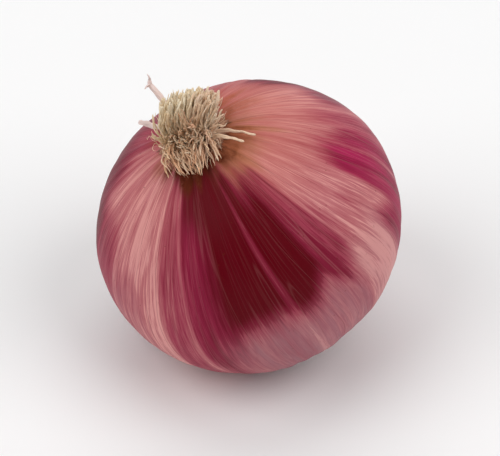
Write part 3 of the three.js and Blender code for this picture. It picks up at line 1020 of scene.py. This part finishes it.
def above_floor(points):
    points[..., 2] = np.maximum(points[..., 2], FLOOR_CLEARANCE)
    return points


def off_the_bulb(points, clearance):
    """Pushes points that lie inside the bulb out to just clear of its skin."""
    local = to_bulb(points)
    half = np.where(local[..., 2] > 0, ROOT_HALF_HEIGHT, NECK_HALF_HEIGHT)
    across = np.hypot(local[..., 0], local[..., 1])
    size = np.hypot(across / EQUATOR_RADIUS, local[..., 2] / half)
    least = 1 + clearance / NECK_HALF_HEIGHT
    return to_world(local * np.maximum(1, least / size)[..., None])


def neck_ring(u):
    """Where the neck leaves the bulb, for each angle round its section: 0 is +X and a quarter is +Y."""
    radius = NECK_RING_RADIUS + NECK_RING_REACH * np.sin(u)
    angle = -np.arccos(radius / EQUATOR_RADIUS)
    return to_world(bulb_surface(angle, u + math.radians(NECK_RING_TURN), NECK_LIFT))


def make_neck():
    """The skin gathers into pleats, lies down on the table as a flat neck and splits into leaf ends."""
    t, u = rings(np.linspace(0, 1, NECK_ROWS), NECK_COLUMNS)
    gathered = np.clip(t / NECK_GATHERED, 0, 1)
    narrow = round(NECK_GATHERED * (NECK_ROWS - 1))
    line = spline(NECK_COURSE, np.linspace(0, 1, NECK_ROWS))
    tangent, across, up = level_frame(line)
    twisted = u + 1.1 * t
    pleats = 0.16 * ripples(twisted, (5, 7, 8, 11, 13), 61) + 0.07 * ripples(twisted, range(17, 30), 63)
    waist = 1 + 0.05 * np.sin(9 * t + 1) + 0.04 * np.sin(21 * t + 2 * u)
    size = (1 + pleats * gathered) * waist * lerp(1, 0.80, fade(t, 0.90, 1.0))
    width = along_list(NECK_HALF_WIDTHS, t) * MM * size
    thick = along_list(NECK_HALF_THICKNESSES, t) * MM * size
    points = line[:, None] + across[:, None] * (np.cos(u) * width)[..., None]
    points = points + up[:, None] * (np.sin(u) * thick)[..., None]
    points += soft_noise(points, 1 / NECK_CRUMPLE_SIZE, 2, seed=8)[..., None] * NECK_CRUMPLE
    # Before it is gathered, the sheet runs from the ring on the bulb to where the neck is narrow.
    share = gathered[:narrow, :, None]
    start, end = neck_ring(u[:narrow]), points[narrow]
    run = (end - start) * share * (1 - share) ** 2 - tangent[narrow] * NECK_RUN * share**2 * (1 - share)
    points[:narrow] = lerp(start, end, smooth(share)) + run
    fold = ripples(twisted[:narrow], range(9, 26), 67) * NECK_FOLD * np.sin(math.pi * share[..., 0])
    points[:narrow, :, 2] += fold
    points = above_floor(off_the_bulb(points, SKIN_CLEARANCE))
    grain = np.stack([np.cos(twisted) * 0.5, np.sin(twisted) * 0.5, t * 1.2], -1)
    shape = Shape()
    shape.grid(points[:, ::-1], closed=True, caps=True, leaf_grain=grain[:, ::-1],
               skin_share=fade(t, 0.80, 0.10), edge=0.0)
    add_leaf_ends(shape)
    shape.build("neck_leaves", LEAF_PAPER, ["dry_neck"])


def add_leaf_ends(shape):
    """Thin leaves that start inside the neck and fan out of its end, torn at their tips."""
    end = NECK_COURSE[-1]
    back = NECK_COURSE[-1] - NECK_COURSE[-2]
    back /= np.linalg.norm(back)
    share = np.linspace(0, 1, LEAF_ROWS)
    for n, (tip, half_width, curl, roll) in enumerate(LEAF_ENDS):
        tip = np.array(tip) * MM
        fan = np.array([(tip[0] - end[0]) * 0.32, 0, 0])
        start = end - back * LEAF_ROOT_BACK + fan * 0.4
        points = [start, end + fan, lerp(end, tip, 0.55) + fan * 0.4, tip]
        line = spline(points, share)
        wave = np.sin(np.linspace(0, 7, LEAF_ROWS))[:, None]
        line += vary(n, 81, 0.4) * MM * wave * np.array([1, 0, 0.6])
        tangent, across, up = level_frame(line)
        turn = np.radians(roll) * (0.3 + 0.7 * share)[:, None]
        side = across * np.cos(turn) + up * np.sin(turn)
        face = up * np.cos(turn) - across * np.sin(turn)
        s, v = np.meshgrid(share, np.linspace(-1, 1, LEAF_COLUMNS), indexing="ij")
        ragged = 0.10 * np.sin(5 * v + 6 * jitter(n, 82)) + 0.07 * np.sin(13 * v + 6 * jitter(n, 83))
        taper = 1 - 0.72 * fade(s, 0.62, 1.0)
        body = half_width * MM * (0.75 + 0.35 * np.sin(math.pi * s**0.8)) * taper
        body = body * (1 + 0.10 * np.sin(17 * s + 9 * jitter(n, 84)) * np.sign(v))
        cup = curl * MM * (v**2 - 0.4) * (0.5 + 0.5 * s) + 0.22 * MM * np.sin(6 * v + 5 * s)
        stretch = (ragged * fade(s, 0.5, 1.0))[..., None] * LEAF_TEAR
        leaf = line[:, None] + side[:, None] * (v * body)[..., None] + face[:, None] * cup[..., None]
        leaf = leaf + tangent[:, None] * stretch
        thickness = LEAF_THICKNESS * lerp(2.2, 1.0, s)
        top = above_floor(leaf + face[:, None] * thickness[..., None])
        under = above_floor(leaf - face[:, None] * thickness[..., None])
        wall = np.concatenate([top, under[:, ::-1]], axis=1)
        wide = np.concatenate([v, v[:, ::-1]], axis=1)
        far = np.concatenate([s, s[:, ::-1]], axis=1)
        grain = np.stack([wide * 0.35, wide * 0 + n * 1.7, far * 1.5], -1)
        dark = np.maximum(fade(far, 0.86, 1.0), fade(np.abs(wide), 0.88, 1.0) * 0.5)
        shape.grid(wall, closed=True, caps=True, leaf_grain=grain, skin_share=0.0, edge=dark * 0.7)


make_neck()

# ---------- floor, light and camera ----------

lowest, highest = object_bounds()
SIZE = float((highest - lowest).length)

FLOOR_RADIUS = 60 * SIZE
FLOOR_WHITE = (0.90, 0.90, 0.90)
DIM_SIDE = (0.0, -0.74, 0.67)
DIM_EDGE = (0.15, 0.75)  # cosines of the angle to that side where dimness starts and is full
ROOM_LEVEL = 0.50
DIM_LEVEL = 0.12
WALL_LEVEL = 0.95  # the low white wall that goes all round the room
WALL_HEIGHT = (0.05, 0.16)  # where it starts to fade and is gone, as the sine of the height

# Soft lamps: name, heading from +X towards +Y, height and spread in degrees, strength.
LAMPS = [
    ("lamp_left", 205, 48, 45, 1.15),
    ("lamp_right", 335, 48, 45, 1.15),
    ("lamp_back", 95, 62, 50, 0.80),
]
LAMP_DISTANCE = 6 * SIZE

CAMERA_HEADING = -90  # from +X, so on the -Y side
CAMERA_HEIGHT = 42  # degrees above the table
CAMERA_LENS = 300
CAMERA_DISTANCE = 0.825
SENSOR_WIDTH = 36


def make_floor():
    mesh = bpy.data.meshes.new("floor")
    corners = [(-1, -1), (1, -1), (1, 1), (-1, 1)]
    points = [(x * FLOOR_RADIUS, y * FLOOR_RADIUS, -FLOOR_CLEARANCE) for x, y in corners]
    mesh.from_pydata(points, [], [(0, 1, 2, 3)])
    mesh.materials.append(new_material("floor").finish(FLOOR_WHITE, 0.9, specular=0.1))
    floor = add_object("floor", mesh)


def make_world():
    """A pale room, dim high up on one side so that the skin keeps its depth there."""
    world = bpy.data.worlds.new("studio")
    n = Nodes(world)
    way = n.add("TexCoord", "Generated", {})
    dim_side = Vector(DIM_SIDE).normalized()[:]
    toward = n.add("VectorMath", "Value", {0: way, 1: dim_side}, operation="DOT_PRODUCT")
    level = n.span(toward, *DIM_EDGE, ROOM_LEVEL, DIM_LEVEL)
    wall = n.span(n.axis(way, "Z"), *WALL_HEIGHT, WALL_LEVEL, level)
    n.end("OutputWorld", n.add("Background", 0, {"Color": (1, 1, 1), "Strength": wall}))
    bpy.context.scene.world = world


def face_bulb(thing, heading, height, distance):
    """Puts a lamp or the camera at a heading and height in degrees, looking at the bulb's middle."""
    h, e = math.radians(heading), math.radians(height)
    way = Vector((math.cos(h) * math.cos(e), math.sin(h) * math.cos(e), math.sin(e)))
    thing.location = Vector(CENTRE) + way * distance
    thing.rotation_mode = "QUATERNION"
    thing.rotation_quaternion = way.to_track_quat("Z", "Y")


def make_lamp(name, heading, height, spread, strength):
    """A broad soft lamp, far off."""
    light = bpy.data.lights.new(name, "SUN")
    light.angle = math.radians(spread)
    light.energy = strength
    face_bulb(add_object(name, light), heading, height, LAMP_DISTANCE)


def make_camera():
    """Looks along +Y and down at the table, close enough for the onion to fill the view."""
    camera_data = bpy.data.cameras.new("camera")
    camera_data.lens = CAMERA_LENS
    camera_data.sensor_width = SENSOR_WIDTH
    camera_data.clip_start = 0.01
    camera_data.clip_end = 50
    camera = add_object("camera", camera_data)
    face_bulb(camera, CAMERA_HEADING, CAMERA_HEIGHT, CAMERA_DISTANCE)
    bpy.context.scene.camera = camera


make_floor()
make_world()
for lamp in LAMPS:
    make_lamp(*lamp)
make_camera()

bpy.context.scene.view_settings.view_transform = "Standard"
